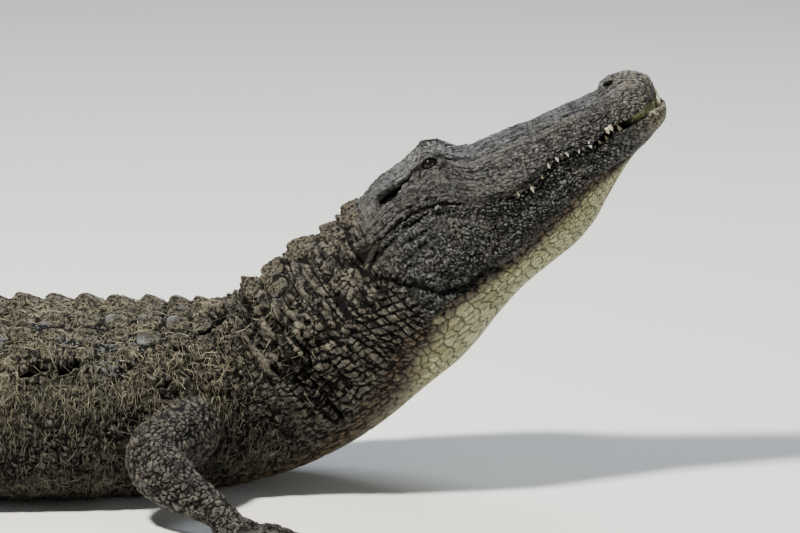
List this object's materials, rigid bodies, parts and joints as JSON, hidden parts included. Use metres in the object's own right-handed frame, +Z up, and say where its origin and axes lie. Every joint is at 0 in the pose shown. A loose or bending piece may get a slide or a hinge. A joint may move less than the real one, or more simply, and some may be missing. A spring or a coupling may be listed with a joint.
{
  "type": "american alligator",
  "caption": "Life-size still model of an adult alligator lying on its belly, with its head and swollen throat raised.",
  "frame": {"origin": "on the flat of the belly where it meets the floor, on the midline, half way along the trunk", "axes": "+X forward along the trunk, to which the head points, +Y to the animal's left, +Z up from the floor"},
  "size_m": [3.244, 1.0728, 0.6329],
  "materials": {
    "hide": "rough wrinkled hide, slate to brown, damp in places",
    "eye": "dark and wet",
    "scute": "horny keeled plates, worn and filmed with algae",
    "tooth": "ivory, slightly glossy",
    "claw": "dark horn, slightly glossy",
    "algae": "matted threads of dried algae, straw to near black"
  },
  "bodies": {
    "root": {"head": "hide", "lower_jaw": "hide", "neck": "hide", "torso": "hide", "tail_base": "hide", "tail_middle": "hide", "tail_end": "hide", "eye_left": "eye", "eye_right": "eye", "front_leg_left_upper": "hide", "front_leg_left_lower": "hide", "front_foot_left": "hide", "front_leg_right_upper": "hide", "front_leg_right_lower": "hide", "front_foot_right": "hide", "hind_leg_left_upper": "hide", "hind_leg_left_lower": "hide", "hind_foot_left": "hide", "hind_leg_right_upper": "hide", "hind_leg_right_lower": "hide", "hind_foot_right": "hide"}
  },
  "joints": []
}
